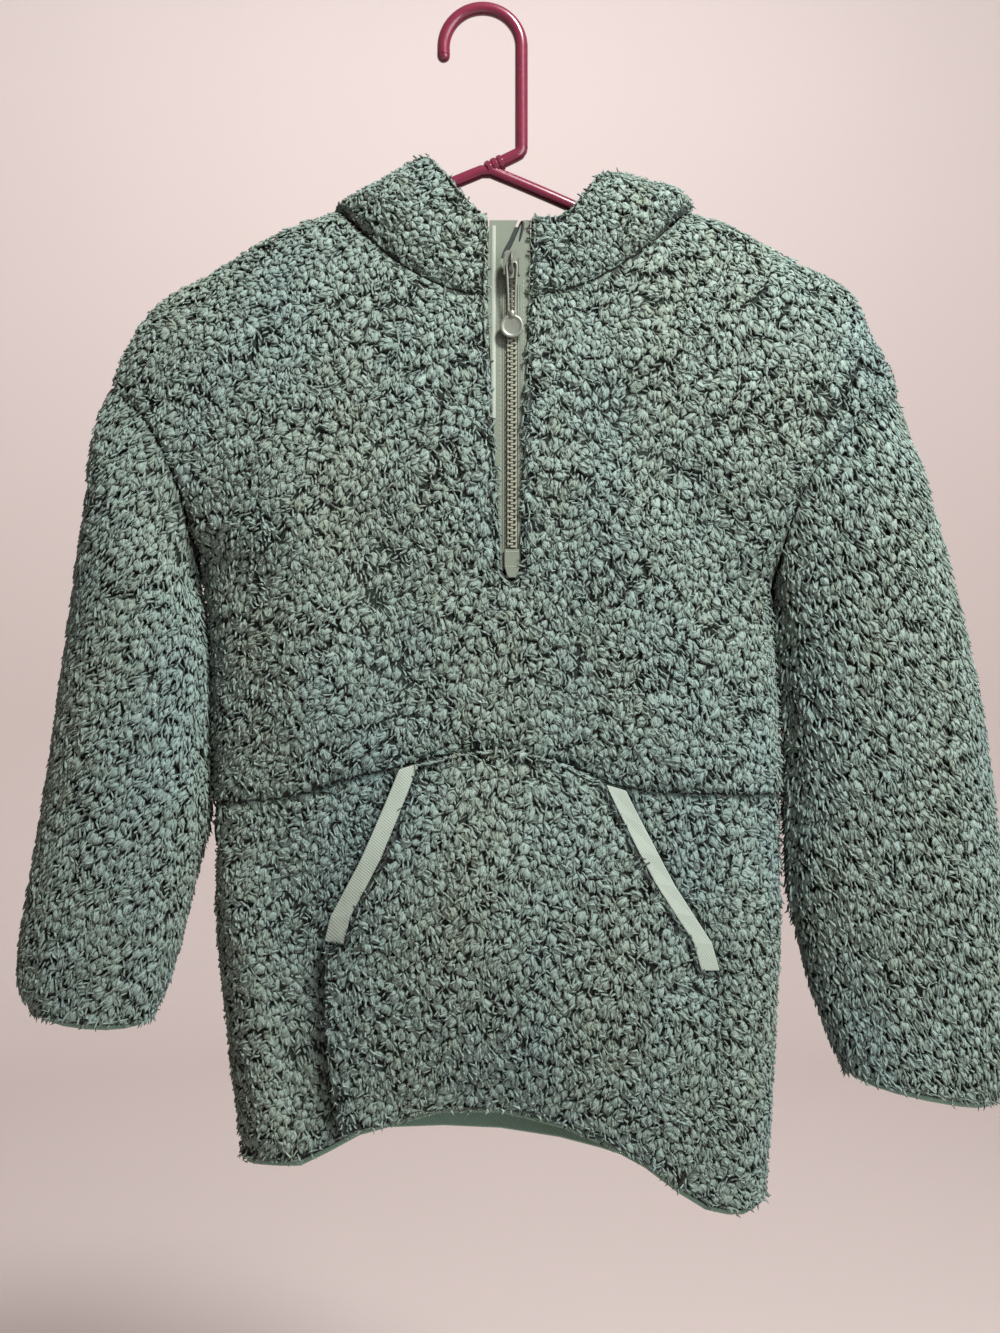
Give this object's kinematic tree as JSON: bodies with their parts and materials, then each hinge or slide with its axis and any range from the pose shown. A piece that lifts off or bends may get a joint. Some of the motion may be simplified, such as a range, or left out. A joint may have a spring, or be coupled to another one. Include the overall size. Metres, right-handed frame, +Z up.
{
  "type": "sherpa fleece pullover on a plastic hanger",
  "caption": "Green sherpa fleece pullover with a hood, half zip and kangaroo pocket, hanging flat on a burgundy tubular plastic hanger.",
  "frame": {"origin": "where the inside of the hanger's hook rests on its peg", "axes": "+Z up, -Y the way the garment's front faces, +X to the right as the front is looked at"},
  "size_m": [0.617, 0.1516, 0.7462],
  "materials": {
    "sherpa": "long curly sherpa pile, sage green",
    "smooth_binding": "smooth pale sage woven binding",
    "knit_binding": "fine stretch knit binding, green",
    "zip_tape": "woven zip tape, taupe sage",
    "zip_chain": "moulded plastic teeth",
    "zip_metal": "painted slider and pull, satin",
    "hanger_plastic": "glossy moulded plastic, burgundy"
  },
  "bodies": {
    "garment": {"back": "sherpa", "front_upper": "sherpa", "front_lower": "sherpa", "hood_left": "sherpa", "hood_right": "sherpa", "sleeve_left_upper": "sherpa", "sleeve_left_lower": "sherpa", "sleeve_right_upper": "sherpa", "sleeve_right_lower": "sherpa", "pocket": "sherpa", "pocket_binding_left": "smooth_binding", "pocket_binding_right": "smooth_binding", "hem_binding": "knit_binding", "cuff_binding_left": "knit_binding", "cuff_binding_right": "knit_binding", "zip_tape_left": "zip_tape", "zip_tape_right": "zip_tape", "zip_end_tab": "zip_tape", "zip_chain": "zip_chain", "zip_slider": "zip_metal", "hanger": "hanger_plastic"},
    "pull": {"zip_pull": "zip_metal"}
  },
  "joints": [
    {"name": "pull_hinge", "type": "hinge", "parent": "garment", "child": "pull", "pos_m": [0.0206, -0.03329, -0.163], "axis": [-1, 0, 0], "range_deg": [0, 150]}
  ]
}
